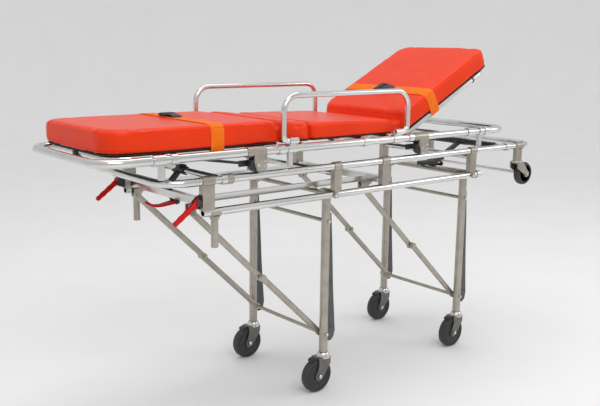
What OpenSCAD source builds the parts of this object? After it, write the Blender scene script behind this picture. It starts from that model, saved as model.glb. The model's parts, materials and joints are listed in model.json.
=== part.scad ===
// Ambulance stretcher trolley: a lift-off stretcher on a folding two-tier undercarriage.
// X runs from the foot end (-) to the head end (+), Y runs across, Z is up.
// The floor is at z = 0 and the trolley stands on its four casters.

/* [Rails] */
// Half the distance between the near and far rails of every tier
rail_y = 252; // [246:1:262]
// Height of the stretcher rails
top_z = 930; // [925:1:940]
// Height of the upper undercarriage rails
mid_z = 851; // [848:1:853]
// Height of the lower undercarriage rails
low_z = 750; // [745:1:755]
// Diameter of the stretcher rails
top_d = 28; // [26:0.5:29]
// Diameter of the undercarriage rails
mid_d = 26; // [24:0.5:26]

/* [Stretcher frame] */
// X of the foot bar
top_foot_x = -1042; // [-1060:1:-1035]
// X of the head bar
top_head_x = 858; // [850:1:880]
// X where the foot bow meets the rails
top_foot_joint = -863; // [-866:1:-863]
// X where the head bow meets the rails
top_head_joint = 705; // [700:1:715]
// Bend radius of the bows
bow_r = 80; // [60:1:90]

/* [Backrest and leg rest] */
// X of the backrest hinge
back_x = 250; // [248:1:252]
// Angle of the backrest above level
back_angle = 27.5; // [0:0.5:60]
// Distance from the backrest hinge to the bow's end bar
back_len = 545; // [530:1:550]
// Half width of the backrest and leg rest bows
bow_y = 223; // [220:1:223]
// X of the leg rest hinge
leg_rest_x = -383; // [-384:1:-382]
// X of the leg rest bow's end bar
leg_rest_end = -986; // [-990:1:-970]

/* [Mattress] */
// Half width of the mattress
pad_y = 240; // [230:1:242]
// Height of the mattress underside
pad_z = 948; // [948:1:950]
// Thickness of the leg and hip cushions
leg_t = 76; // [60:1:78]
// Thickness of the seat cushion
seat_t = 62; // [50:1:64]
// Thickness of the backrest cushion
back_t = 74; // [60:1:74]
// X of the mattress foot end
pad_foot = -1012; // [-1015:1:-995]

/* [Side rails] */
// Diameter of the side rail tube
side_d = 20; // [18:0.5:20]
// X of the foot side upright
side_x0 = -382; // [-386:1:-380]
// X of the head side upright
side_x1 = 218; // [216:1:222]
// Height of the hinge line
side_z = 958; // [957:1:960]
// Distance of the hinge line from the centre plane
side_y = 266; // [266:1:270]
// Rise of the grab bar above the hinge line
side_h = 152; // [130:1:170]
// Radius of the upper bends
side_r = 58; // [50:1:70]

/* [Undercarriage] */
// X of the foot crossbar
mid_foot_x = -827; // [-840:1:-820]
// X of the head crossbar
mid_head_x = 1043; // [1030:1:1060]
// X of the lower rails' foot ends
low_foot_x = -695; // [-700:1:-690]
// X of the lower rails' head ends
low_head_x = 690; // [680:1:700]
// Radius of the loading wheels
load_r = 50; // [45:1:52]
// X of the loading wheels
load_x = 999; // [990:1:1005]
// Height of the loading wheels
load_z = 724; // [715:1:735]

/* [Legs] */
// X of the foot leg hinge
foot_x = -142; // [-143:1:-140]
// X of the head leg hinge
head_x = 628; // [626:1:630]
// Distance of each leg from the centre plane
leg_y = 218; // [217:0.5:218]
// Diameter of a leg tube
leg_d = 32; // [28:1:32]
// How far a leg pair folds towards the foot end
fold_angle = 84; // [80:0.5:84]
// Depth of the upper leg crossbar below the hinge
bar_high = 102; // [95:1:115]
// Depth of the lower leg crossbar below the hinge
bar_low = 532; // [525:1:535]
// X of the brace anchor pin from the leg hinge
anchor_dx = -550; // [-552:1:-548]
// Height of the brace anchor pin from the leg hinge
anchor_dz = -6; // [-8:1:-4]

/* [Casters] */
// Radius of a caster wheel
wheel_r = 63.5; // [60:0.5:65]
// How far a wheel trails its swivel axis
trail = 32; // [28:1:34]

/* [Hidden] */
$fn = 48;
clear = 0.1;                      // radial gap round a tube that is clamped
run = 0.05;                       // radial gap in a turning fit
ring_t = 3.9;                     // wall of a clamp ring
guide_r = 23;                     // guide wheel radius
guide_x = [-490, 303];            // guide wheel stations on the stretcher
guide_z = mid_z + mid_d / 2 + guide_r + 0.5;
post_x = [-841, -343, 675];       // stretcher posts
back_d = 22;                      // backrest tube
leg_rest_d = 20;                  // leg rest tube
back_z = pad_z - back_d / 2;      // backrest hinge, so that its tube carries the cushion
leg_rest_z = pad_z - leg_rest_d / 2;
mid_foot_joint = -594;            // ends of the straight upper undercarriage rails
mid_head_joint = 925;
block_x = [-678, -127, 116, 633]; // blocks that join the two undercarriage tiers
block_w = [45, 34, 38, 38];       // their lengths along the rail
box_x = [-678, 116];              // square cross members
box_z = low_z + mid_d / 2 + 17;   // centre of the square cross members
box_w = 24;
guide_bar_y = 180;
stub_x = -650;                    // rest stubs
stub_z = 634;
stub_d = 24;
barrel_d = 23;                    // side rail barrels and the spigots that turn in them
spigot_d = 14;
bracket_x = [-358, -322, 153, 194];
lock_x = -617;                    // cross tube that carries the foot lock
catch_x = 863;                    // cross tube that carries the head lock
end_x = 672;                      // cross tube between the lower rails
lever_x = -718;                   // release lever pivots
lever_z = 788;
lever_y = 258;
lever_slope = 36;                 // fall of the lever grips below level
handle_x = -640;                  // lock handle pivot
handle_z = 744;
fork_x = 952;                     // loading wheel fork stems
shaft_r = 8;                      // leg hinge shaft
bar_r = 7;                        // leg crossbar
pin_r = 5;
lower_y = 192.5;                  // plane of the lower brace links
upper_y = 177;                    // plane of the upper brace links
link_t = 13;
link_w = 22;
eye_r = 13;
crown_z = 149;                    // underside of a leg tube

// Brace geometry in the XZ plane, measured from the leg hinge.
// The strut is straight when the leg is down. Its two lengths are such that the
// upper link hangs 3 degrees below level when the leg is folded.
anchor = [anchor_dx, anchor_dz];
foot_pin = [0, -bar_low];
folded_pin = [-bar_low * sin(fold_angle), -bar_low * cos(fold_angle)];
strut = norm(anchor - foot_pin);
rest_dir = [cos(-3), sin(-3)];
gap = anchor - folded_pin;
upper_len = (strut * strut - gap * gap) / (2 * (strut + gap * rest_dir));
lower_len = strut - upper_len;
brace_dir = atan2(foot_pin[1] - anchor[1], foot_pin[0] - anchor[0]);

alloy = "silver";
satin = [0.62, 0.60, 0.57];
dark = [0.30, 0.30, 0.32];
orange = [0.88, 0.28, 0.12];
webbing = [0.95, 0.58, 0.12];
red = [0.78, 0.08, 0.10];

CORNERS = ["foot_near", "foot_far", "head_near", "head_far"];

// ---- Shared shapes ----

// The same shape on the far side and, mirrored, on the near side
module both_sides() {
  children();
  mirror([0, 1, 0]) children();
}

// Puts a far side shape on one side: side is 1 for far, -1 for near
module on_side(side) {
  if (side > 0) children();
  else mirror([0, 1, 0]) children();
}

module bar_x(d, x0, x1) {
  translate([x0, 0, 0]) rotate([0, 90, 0]) cylinder(d = d, h = x1 - x0);
}

module bar_y(d, y0, y1) {
  translate([0, y0, 0]) rotate([-90, 0, 0]) cylinder(d = d, h = y1 - y0);
}

// A bend of tube in the XY plane about the origin, from angle a0 through 90 degrees
module bend(d, r, a0) {
  rotate([0, 0, a0]) rotate_extrude(angle = 90) translate([r, 0]) circle(d = d);
}

// A U of tube whose arms run along +X from x = 0 to the end bar at x = reach
module u_bow(d, reach, half_w, r) {
  both_sides() {
    translate([0, half_w, 0]) bar_x(d, 0, reach - r);
    translate([reach - r, half_w - r, 0]) bend(d, r, 0);
  }
  translate([reach, 0, 0]) bar_y(d, -(half_w - r), half_w - r);
}

// A clamp ring round a rail that runs along X
module ring_x(rail_d, x0, x1) {
  difference() {
    bar_x(rail_d + 2 * (clear + ring_t), x0, x1);
    bar_x(rail_d + 2 * clear, x0 - 1, x1 + 1);
  }
}

// A plate in the XZ plane between y0 and y1
module plate(y0, y1) {
  translate([0, y1, 0]) rotate([90, 0, 0]) linear_extrude(y1 - y0) children();
}

// A bolt head or nut along Y
module nut_y(d, y0, y1) {
  translate([0, y0, 0]) rotate([-90, 0, 0]) cylinder(d = d, h = y1 - y0, $fn = 6);
}

// ---- Stretcher ----

module top_rails() {
  color(alloy) both_sides() translate([0, rail_y, top_z])
    bar_x(top_d, top_foot_joint, top_head_joint);
}

module top_bows() {
  color(alloy) translate([top_head_joint, 0, top_z])
    u_bow(top_d, top_head_x - top_head_joint, rail_y, bow_r);
  color(alloy) translate([top_foot_joint, 0, top_z]) mirror([1, 0, 0])
    u_bow(top_d, top_foot_joint - top_foot_x, rail_y, bow_r);
}

// Sleeves over the joints between the stretcher rails and their bows
module rail_sleeves() {
  color(satin) both_sides() translate([0, rail_y, top_z])
    for (x = [top_foot_joint, top_head_joint])
      ring_x(top_d, x - 10, x + 10);
}

// A cross tube whose ends are cut to fit the stretcher rails
module plain_cross_tube(x, z) {
  difference() {
    translate([x, 0, z]) bar_y(20, -rail_y, rail_y);
    both_sides() translate([0, rail_y, top_z]) bar_x(top_d + 2 * clear, x - 15, x + 15);
  }
}

// A cross tube that ends in clamp rings on the stretcher rails
module ringed_cross_tube(x, z) {
  plain_cross_tube(x, z);
  both_sides() translate([0, rail_y, top_z]) ring_x(top_d, x - 11, x + 11);
}

// Tubes under the seat touch the mattress, those under the two lifting parts stand low
module stretcher_cross_tubes() {
  color(alloy) {
    for (x = [-285, 140]) plain_cross_tube(x, pad_z - 10);
    ringed_cross_tube(10, pad_z - 10);
    for (x = [-800, 600]) ringed_cross_tube(x, top_z - 18);
  }
}

// Posts that stand the stretcher over the undercarriage rails. The end posts have a ring of
// their own, and the middle ones hang under the side rail brackets.
module stretcher_posts() {
  ring_d = top_d + 2 * (clear + ring_t);
  color(satin) both_sides() for (i = [0 : 2]) {
    x = post_x[i];
    bore_d = i == 1 ? ring_d + 2 * clear : top_d + 2 * clear;
    difference() {
      union() {
        translate([x, rail_y, mid_z + mid_d / 2 + 6])
          cylinder(d = 22, h = top_z - mid_z - mid_d / 2 - 6);
        if (i != 1) translate([0, rail_y, top_z]) bar_x(ring_d, x - 12, x + 12);
      }
      translate([0, rail_y, top_z]) bar_x(bore_d, x - 14, x + 14);
    }
  }
}

// Saddle and two cheek plates for each guide wheel
module wheel_brackets() {
  color(satin) both_sides() for (x = guide_x) {
    difference() {
      union() {
        translate([0, rail_y, top_z]) bar_x(top_d + 2 * (clear + ring_t), x - 35, x + 38);
        for (y = [-17.5, 13.5]) translate([x, rail_y + y, 0]) plate(0, 4)
          polygon([[-4, guide_z - 18], [34, guide_z - 18], [38, guide_z - 6],
                   [38, top_z], [-14, top_z], [-14, guide_z + 10]]);
      }
      translate([0, rail_y, top_z]) bar_x(top_d + 2 * clear, x - 36, x + 39);
    }
    translate([x, rail_y, guide_z]) {
      bar_y(8, -13.5, 13.5);
      nut_y(13, 17.5, 21);
      nut_y(13, -21, -17.5);
    }
  }
}

// Black stays that run from the guide wheel saddles up to the rail
module wheel_struts() {
  color(dark) both_sides() for (x = guide_x)
    translate([x - 44, rail_y - 24, guide_z + 6]) {
      rotate([0, 9, 0]) translate([-150, 0, -4]) cube([152, 5, 9]);
      translate([-6, 0, -12]) cube([38, 5, 20]);
    }
}

// Each bracket clamps the rail and carries the barrel that a side rail foot turns in
module side_rail_bracket(x0, x1) {
  difference() {
    union() {
      translate([0, rail_y, top_z]) bar_x(top_d + 2 * (clear + ring_t), x0, x1);
      translate([0, side_y, side_z]) bar_x(barrel_d, x0, x1);
      translate([x0 + 3, rail_y + 4, top_z + 4]) cube([x1 - x0 - 6, 11, side_z - top_z - 4]);
    }
    translate([0, rail_y, top_z]) bar_x(top_d + 2 * clear, x0 - 1, x1 + 1);
    translate([0, side_y, side_z]) bar_x(spigot_d + 2 * run, x0 - 1, x1 + 1);
  }
}

module side_rail_brackets() {
  color(alloy) both_sides() {
    side_rail_bracket(bracket_x[0], bracket_x[1]);
    side_rail_bracket(bracket_x[2], bracket_x[3]);
  }
}

// A clamp ring on a stretcher rail with a pin that points inwards
module hinge_lug(x, z) {
  difference() {
    union() {
      translate([0, rail_y, top_z]) bar_x(top_d + 2 * (clear + ring_t), x - 13, x + 13);
      translate([x, 0, z]) bar_y(2 * pin_r, bow_y - 14, rail_y - 8);
    }
    translate([0, rail_y, top_z]) bar_x(top_d + 2 * clear, x - 14, x + 14);
  }
}

module back_pivots() {
  color(satin) both_sides() {
    hinge_lug(back_x, back_z);
    hinge_lug(leg_rest_x, leg_rest_z);
  }
}

// ---- Mattress ----

// A plan outline with rounded corners, from x0 to x1
module rounded_plan(x0, x1, half_w, r) {
  translate([x0, -half_w + r]) square([x1 - x0, 2 * (half_w - r)]);
  translate([x0 + r, -half_w]) square([x1 - x0 - 2 * r, 2 * half_w]);
  for (x = [x0 + r, x1 - r], y = [-half_w + r, half_w - r])
    translate([x, y]) circle(r);
}

// A pad: a rounded plan cut by the side profile in children(0)
module pad(x0, x1, r) {
  intersection() {
    linear_extrude(2 * leg_t) rounded_plan(x0, x1, pad_y, r);
    plate(-pad_y - 1, pad_y + 1) children();
  }
}

module hip_pad() {
  color(orange) translate([0, 0, pad_z]) pad(-358, -234, 6)
    polygon([[-358, 0], [-234, 0], [-234, leg_t - 14], [-262, leg_t], [-358, leg_t]]);
}

module seat_pad() {
  color(orange) translate([0, 0, pad_z]) pad(-230, 178, 6)
    polygon([[-230, 0], [178, 0], [178, seat_t - 12], [166, seat_t], [-230, seat_t]]);
}

module leg_pad() {
  color(orange) translate([0, 0, pad_z]) pad(pad_foot, -372, 34)
    polygon([[pad_foot, 0], [-372, 0], [-388, leg_t], [pad_foot, leg_t]]);
}

// The backrest parts are drawn level about their hinge and then raised
module raised_back() {
  translate([back_x, 0, back_z]) rotate([0, -back_angle, 0]) children();
}

module back_pad() {
  color(orange) raised_back() translate([0, 0, pad_z - back_z]) pad(-20, back_len + 25, 45)
    polygon([[-20, 0], [back_len + 25, 0], [back_len + 25, back_t], [27, back_t]]);
}

// Webbing over a pad and down both its sides, with its buckle
module strap(x, w, half_y, t, top) {
  color(webbing) difference() {
    translate([x - w / 2, -half_y - t, 1]) cube([w, 2 * (half_y + t), top + t - 1]);
    translate([x - w / 2 - 1, -half_y, -1]) cube([w + 2, 2 * half_y, top + 1]);
  }
  color(dark) translate([x - 26, -26, top + t]) cube([52, 52, 12]);
}

module leg_strap() {
  translate([0, 0, pad_z]) strap(-625, 50, pad_y + 0.5, 3, leg_t + 0.5);
}

module back_strap() {
  raised_back() translate([0, 0, pad_z - back_z]) strap(182, 50, pad_y + 0.5, 3, back_t + 0.5);
}

// ---- Backrest and leg rest frames ----

// A U of tube whose two ends are eyes on the hinge pins
module hinged_bow(d, reach, r) {
  difference() {
    union() {
      both_sides() translate([0, bow_y, 0]) bar_x(d, 4, 40);
      translate([40, 0, 0]) u_bow(d, reach - 40, bow_y, r);
      both_sides() bar_y(20, bow_y - 10, bow_y + 10);
    }
    bar_y(2 * (pin_r + run), -rail_y, rail_y);
  }
}

// Cross slats inside the bow carry the pad
module slats(xs, d) {
  for (x = xs) translate([x, 0, 0]) bar_y(d, -bow_y, bow_y);
}

module back_frame() {
  color(alloy) raised_back() {
    hinged_bow(back_d, back_len, 70);
    slats([180, 380], 18);
  }
}

module leg_frame() {
  color(alloy) translate([leg_rest_x, 0, leg_rest_z]) mirror([1, 0, 0]) {
    hinged_bow(leg_rest_d, leg_rest_x - leg_rest_end, 70);
    slats([180, 330], 16);
  }
}

// ---- Side rails ----

module side_rail(side) {
  foot_r = 22;
  color(alloy) translate([0, side * side_y, side_z]) rotate([90, 0, 0]) {
    bar_x(spigot_d, side_x0 + foot_r - 2, bracket_x[1] - 2);
    translate([side_x0 + foot_r, foot_r, 0]) bend(side_d, foot_r, 180);
    translate([side_x0, 0, 0]) bar_y(side_d, foot_r, side_h - side_r);
    translate([side_x0 + side_r, side_h - side_r, 0]) bend(side_d, side_r, 90);
    translate([0, side_h, 0]) bar_x(side_d, side_x0 + side_r, side_x1 - side_r);
    translate([side_x1 - side_r, side_h - side_r, 0]) bend(side_d, side_r, 0);
    translate([side_x1, 0, 0]) bar_y(side_d, foot_r, side_h - side_r);
    translate([side_x1 - foot_r, foot_r, 0]) bend(side_d, foot_r, 270);
    bar_x(spigot_d, bracket_x[2] + 2, side_x1 - foot_r + 2);
  }
}

// ---- Undercarriage ----

module mid_rails() {
  color(alloy) both_sides() translate([0, rail_y, mid_z])
    bar_x(mid_d, mid_foot_joint, mid_head_joint);
}

module mid_bows() {
  color(alloy) translate([mid_head_joint, 0, mid_z])
    u_bow(mid_d, mid_head_x - mid_head_joint, rail_y, 60);
  color(alloy) translate([mid_foot_joint, 0, mid_z]) mirror([1, 0, 0])
    u_bow(mid_d, mid_foot_joint - mid_foot_x, rail_y, bow_r);
}

// The lower rails are bored across for the leg hinge shafts and are open at the foot end
module low_rails() {
  color(alloy) both_sides() translate([0, rail_y, low_z]) difference() {
    bar_x(mid_d, low_foot_x, low_head_x);
    bar_x(mid_d - 6, low_foot_x - 1, low_foot_x + 40);
    for (x = [foot_x, head_x]) translate([x, 0, 0]) bar_y(2 * (shaft_r + run), -20, 20);
  }
}

// Upright blocks: a clamp ring round the upper rail and a saddle on the lower rail
module rail_blocks() {
  color(satin) both_sides() for (i = [0 : 3]) difference() {
    union() {
      translate([0, rail_y, mid_z])
        bar_x(mid_d + 2 * (clear + ring_t), block_x[i] - block_w[i] / 2, block_x[i] + block_w[i] / 2);
      translate([block_x[i] - block_w[i] / 2, rail_y - 11, low_z + 4])
        cube([block_w[i], 22, mid_z - low_z]);
    }
    translate([0, rail_y, mid_z]) bar_x(mid_d + 2 * clear, block_x[i] - 30, block_x[i] + 30);
    translate([0, rail_y, low_z]) bar_x(mid_d + 2 * clear, block_x[i] - 30, block_x[i] + 30);
    for (x = [foot_x, head_x])
      translate([x, rail_y, low_z]) bar_y(2 * (shaft_r + clear), -20, 20);
  }
  // joint sleeves of the upper rails
  color(satin) both_sides() translate([0, rail_y, mid_z])
    ring_x(mid_d, mid_foot_joint - 12, mid_foot_joint + 12);
}

module guide_bars() {
  color(alloy) both_sides()
    translate([box_x[0] + box_w / 2, guide_bar_y - 8, box_z - 10])
      cube([box_x[1] - box_x[0] - box_w, 16, 20]);
}

// Round cross tubes with an end flange against the rail blocks, and two square cross members
module chassis_cross_tubes() {
  flat_y = rail_y - 11;
  color(alloy) {
    for (x = [block_x[1], block_x[3]]) translate([x, 0, mid_z - 26]) {
      bar_y(22, -flat_y, flat_y);
      both_sides() bar_y(25, flat_y - 4, flat_y);
    }
    for (x = [lock_x, catch_x]) difference() {
      union() {
        translate([x, 0, mid_z]) bar_y(22, -(rail_y - 15), rail_y - 15);
        both_sides() translate([0, rail_y, mid_z])
          bar_x(mid_d + 2 * (clear + ring_t), x - 10, x + 10);
      }
      both_sides() translate([0, rail_y, mid_z]) bar_x(mid_d + 2 * clear, x - 11, x + 11);
    }
    difference() {
      union() {
        translate([end_x, 0, low_z]) bar_y(22, -(rail_y - 15), rail_y - 15);
        both_sides() translate([0, rail_y, low_z])
          bar_x(mid_d + 2 * (clear + ring_t), end_x - 10, end_x + 10);
      }
      both_sides() translate([0, rail_y, low_z]) bar_x(mid_d + 2 * clear, end_x - 11, end_x + 11);
    }
    for (x = box_x) translate([x - box_w / 2, -flat_y, box_z - box_w / 2])
      cube([box_w, 2 * flat_y, box_w]);
  }
}

// Leg hinge shafts, through both lower rails, with a nut at each end
module pivot_shafts() {
  color(satin) for (x = [foot_x, head_x]) translate([x, 0, low_z]) {
    bar_y(2 * shaft_r, -(rail_y + 15), rail_y + 15);
    both_sides() nut_y(24, rail_y + 15, rail_y + 21);
    both_sides() difference() {
      bar_y(30, leg_y - 30, leg_y - 17);
      bar_y(2 * shaft_r - 1, leg_y - 31, leg_y - 16);
    }
  }
}

// Two lugs under a square cross member hold the pin of an upper brace link
module brace_anchor(hinge_x, member_x) {
  px = hinge_x + anchor_dx;
  pz = low_z + anchor_dz;
  top = box_z - box_w / 2;
  left = min(px - eye_r, member_x - box_w / 2);
  right = member_x + box_w / 2;
  for (y = [upper_y - link_t / 2 - 6, upper_y + link_t / 2 + 1]) {
    plate(y, y + 5) polygon([[px - eye_r, pz], [left, top], [right, top], [px + eye_r, pz]]);
    translate([px, 0, pz]) bar_y(2 * eye_r, y, y + 5);
  }
  translate([px, 0, pz]) bar_y(2 * pin_r, upper_y - link_t / 2 - 9, upper_y + link_t / 2 + 9);
}

module brace_anchors() {
  color(dark) both_sides() {
    brace_anchor(foot_x, box_x[0]);
    brace_anchor(head_x, box_x[1]);
  }
}

// Stubs that the trolley rests on when its legs are folded, each under a half saddle
module rest_stubs() {
  saddle_r = mid_d / 2 + clear + ring_t;
  color(satin) both_sides() translate([stub_x, rail_y, 0]) difference() {
    union() {
      translate([0, 0, stub_z]) cylinder(d = stub_d, h = low_z - stub_z);
      translate([0, 0, low_z]) bar_x(2 * saddle_r, -17, 17);
      translate([0, 0, low_z - 22]) cylinder(d = stub_d + 8, h = 8);
    }
    translate([0, 0, low_z]) bar_x(mid_d + 2 * clear, -18, 18);
    translate([-20, -saddle_r - 1, low_z + 1]) cube([40, 2 * saddle_r + 2, saddle_r + 1]);
  }
}

// ---- Controls ----

module lever_brackets() {
  face_x = block_x[0] - block_w[0] / 2;
  color(dark) both_sides() {
    plate(rail_y - 10, rail_y - 5)
      polygon([[face_x, lever_z - 26], [face_x, lever_z + 22], [lever_x + 2, lever_z + 16],
               [lever_x - 14, lever_z], [lever_x - 10, lever_z - 18]]);
    translate([lever_x, 0, lever_z]) {
      bar_y(2 * pin_r, rail_y - 7, lever_y + 13);
      bar_y(20, lever_y + 10, lever_y + 13);
    }
  }
}

// A squeeze lever that slopes down towards the foot end
module release_lever(side) {
  color(red) on_side(side) translate([lever_x, lever_y, lever_z]) difference() {
    union() {
      bar_y(20, -9, 9);
      rotate([0, -90 - lever_slope, 0]) lever_grip();
    }
    bar_y(2 * (pin_r + run), -12, 12);
  }
}

// The grip runs along +Z here
module lever_grip() {
  translate([0, 0, 5]) cylinder(d = 17, h = 96);
  translate([0, 0, 101]) sphere(d = 17);
}

// A clamp with a hook pad, round a cross tube of the upper rails
module lock_clamp(x, half) {
  difference() {
    translate([x, 0, mid_z]) {
      bar_y(30, -half, half);
      translate([-15, -14, 0]) cube([30, 28, 17]);
    }
    translate([x, 0, mid_z]) bar_y(22 + 2 * clear, -half - 1, half + 1);
  }
}

// Foot lock: clamp, sloping arm, boss on the square member and two lugs for the red handle
module foot_lock() {
  top = box_z + box_w / 2;
  rear = box_x[0] + box_w / 2;
  color(dark) {
    lock_clamp(lock_x, 35);
    plate(-9, 9) polygon([[lock_x - 16, mid_z - 3], [lock_x - 8, mid_z - 15],
                          [box_x[0] + 10, top], [box_x[0] - 10, top]]);
    translate([box_x[0] - 12, -24, top]) cube([24, 48, 8]);
    for (y = [-15, 11]) plate(y, y + 4)
      polygon([[rear, box_z + 8], [rear, box_z - 10], [handle_x - 4, handle_z - 10],
               [handle_x + 9, handle_z - 6], [handle_x + 9, handle_z + 8]]);
    translate([handle_x, 0, handle_z]) bar_y(2 * pin_r, -18, 18);
  }
}

// Curved red strip that pivots under the foot lock and turns up at its free end
module lock_handle() {
  color(red) translate([handle_x, 0, handle_z]) difference() {
    union() {
      bar_y(18, -10.5, 10.5);
      plate(-10.5, 10.5)
        polygon([[0, -8], [-58, -13], [-80, -12], [-98, -7], [-114, 3], [-110, 10],
                 [-95, 1], [-78, -4], [-58, -5], [0, 5]]);
    }
    bar_y(2 * (pin_r + run), -12, 12);
  }
}

// Head lock: clamp, sloping arm and a long block over the end cross tube
module head_lock() {
  color(dark) {
    lock_clamp(catch_x, 40);
    plate(-9, 9) polygon([[catch_x - 8, mid_z - 15], [catch_x - 16, mid_z - 3],
                          [head_x + 62, low_z + 29], [head_x + 71, low_z + 15]]);
    translate([head_x - 28, -18, low_z + 12.5]) cube([99, 36, 16]);
  }
}

// ---- Loading wheels ----

module loading_forks() {
  color(satin) both_sides() {
    difference() {
      union() {
        translate([0, rail_y, mid_z]) bar_x(mid_d + 2 * (clear + ring_t), fork_x - 26, fork_x + 26);
        translate([fork_x, rail_y, mid_z - 72]) cylinder(d = 38, h = 60);
        translate([fork_x, rail_y, mid_z - 78]) cylinder(d = 46, h = 8);
      }
      translate([0, rail_y, mid_z]) bar_x(mid_d + 2 * clear, fork_x - 27, fork_x + 27);
    }
    for (y = [-23, 17]) translate([0, rail_y + y, 0]) plate(0, 6) {
      polygon([[fork_x - 20, mid_z - 72], [fork_x + 18, mid_z - 72], [load_x + 14, load_z + 2],
               [load_x - 14, load_z - 4], [fork_x - 18, mid_z - 100]]);
      translate([load_x, load_z]) circle(15);
    }
    translate([load_x, rail_y, load_z]) {
      bar_y(2 * pin_r, -23, 23);
      nut_y(18, 23, 27);
    }
  }
}

module loading_axle() {
  color(alloy) translate([load_x, 0, load_z]) {
    bar_y(16, -(rail_y - 23), rail_y - 23);
  }
}

module loading_wheel(side) {
  color(dark) translate([load_x, side * rail_y, load_z]) rotate([90, 0, 0])
    rotate_extrude() polygon([[5.05, -14], [18, -14], [20, -10], [34, -10], [36, -15],
                              [load_r - 5, -15], [load_r, -8], [load_r, 8], [load_r - 5, 15],
                              [36, 15], [34, 10], [20, 10], [18, 14], [5.05, 14]]);
}

// ---- Legs ----

module leg_tubes(hinge_x) {
  color(satin) both_sides() translate([hinge_x, leg_y, 0]) difference() {
    union() {
      translate([0, 0, crown_z]) cylinder(d = leg_d, h = low_z - 4 - crown_z);
      translate([0, 0, low_z]) bar_y(38, 1 - leg_d / 2, leg_d / 2 - 1);
    }
    translate([0, 0, low_z]) bar_y(2 * (shaft_r + run), -20, 20);
    for (z = [bar_high, bar_low]) translate([0, 0, low_z - z]) bar_y(8 + 2 * clear, -20, 20);
    translate([0, 0, crown_z - 1]) cylinder(r = 6 + run, h = 36);
  }
}

module leg_bars(hinge_x) {
  inner = leg_y - leg_d / 2;
  color(alloy) for (z = [bar_high, bar_low]) translate([hinge_x, 0, low_z - z]) {
    bar_y(2 * bar_r, -inner, inner);
    both_sides() bar_y(8, inner, leg_y + leg_d / 2 + 1);
    both_sides() bar_y(15, leg_y + leg_d / 2 + 1, leg_y + leg_d / 2 + 4);
  }
}

// A skid blade on the head side of each leg
module guards(hinge_x) {
  color(dark) both_sides() translate([hinge_x + leg_d / 2 + 1, leg_y, 0]) plate(-4, 4)
    polygon([[0, 676], [6, 676], [14, 560], [22, 400], [32, 270], [36, 225], [30, 198],
             [18, 187], [6, 186], [0, 196]]);
}

// ---- Folding braces ----

// A flattened tube along +X with an eye at each end
module link(len, y, left_r, right_r) {
  difference() {
    union() {
      translate([0, y, 0]) rotate([0, 90, 0]) linear_extrude(len) {
        square([link_w - link_t, link_t], center = true);
        for (s = [-1, 1]) translate([s * (link_w - link_t) / 2, 0]) circle(d = link_t);
      }
      for (x = [0, len]) translate([x, 0, 0]) bar_y(2 * eye_r, y - link_t / 2, y + link_t / 2);
    }
    bar_y(2 * (left_r + run), y - 20, y + 20);
    if (right_r > 0) translate([len, 0, 0]) bar_y(2 * (right_r + run), y - 20, y + 20);
  }
}

// Upper link: from the anchor pin down to the knuckle
module brace_upper(hinge_x) {
  color(alloy) both_sides() translate([hinge_x + anchor[0], 0, low_z + anchor[1]])
    rotate([0, -brace_dir, 0]) {
      link(upper_len, upper_y, pin_r, 0);
      translate([upper_len, 0, 0]) nut_y(15, upper_y - link_t / 2 - 5, upper_y - link_t / 2);
    }
}

// Lower link: from the leg crossbar up to the knuckle
module brace_lower(hinge_x) {
  color(alloy) both_sides() translate([hinge_x, 0, low_z - bar_low])
    rotate([0, 180 - brace_dir, 0]) {
      link(lower_len, lower_y, bar_r, 0);
      translate([lower_len, 0, 0]) bar_y(16, lower_y + link_t / 2, lower_y + link_t / 2 + 1.5);
    }
}

// ---- Casters ----

function corner_x(i) = i < 2 ? foot_x : head_x;
function corner_side(i) = i % 2 == 0 ? -1 : 1;

module caster_fork(i) {
  color(dark) translate([corner_x(i), corner_side(i) * leg_y, 0]) {
    translate([0, 0, 134]) cylinder(r = 6, h = 44);
    translate([0, 0, 134]) cylinder(r1 = 24, r2 = 17, h = crown_z - 134.5);
    translate([0, 0, 128]) cylinder(r = 25, h = 6);
    translate([-38, -21, 128]) cube([38, 42, 6]);
    for (y = [-21, 17]) plate(y, y + 4) {
      polygon([[-36, 131], [21, 131], [19, 104], [-trail + 17, wheel_r - 6],
               [-trail - 17, wheel_r], [-36, 104]]);
      translate([-trail, wheel_r]) circle(18);
    }
    translate([-trail, 0, wheel_r]) {
      bar_y(10, -21, 21);
      both_sides() nut_y(16, 21, 25);
    }
  }
}

module caster_wheel(i) {
  color([0.22, 0.22, 0.23])
    translate([corner_x(i) - trail, corner_side(i) * leg_y, wheel_r]) rotate([90, 0, 0])
      rotate_extrude() polygon([[5.05, -16], [16, -16], [18, -12], [38, -10], [43, -15],
                                [wheel_r - 6, -16], [wheel_r - 2, -13], [wheel_r, -7],
                                [wheel_r, 7], [wheel_r - 2, 13], [wheel_r - 6, 16],
                                [43, 15], [38, 10], [18, 12], [16, 16], [5.05, 16]]);
}

// ---- Guide wheels under the stretcher ----

module guide_wheel(i) {
  color(dark) translate([guide_x[i < 2 ? 0 : 1], corner_side(i) * rail_y, guide_z])
    rotate([90, 0, 0]) rotate_extrude()
      polygon([[4.05, -12], [guide_r - 3, -12], [guide_r, -9], [guide_r, 9],
               [guide_r - 3, 12], [4.05, 12]]);
}

// ---- Output ----

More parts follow.
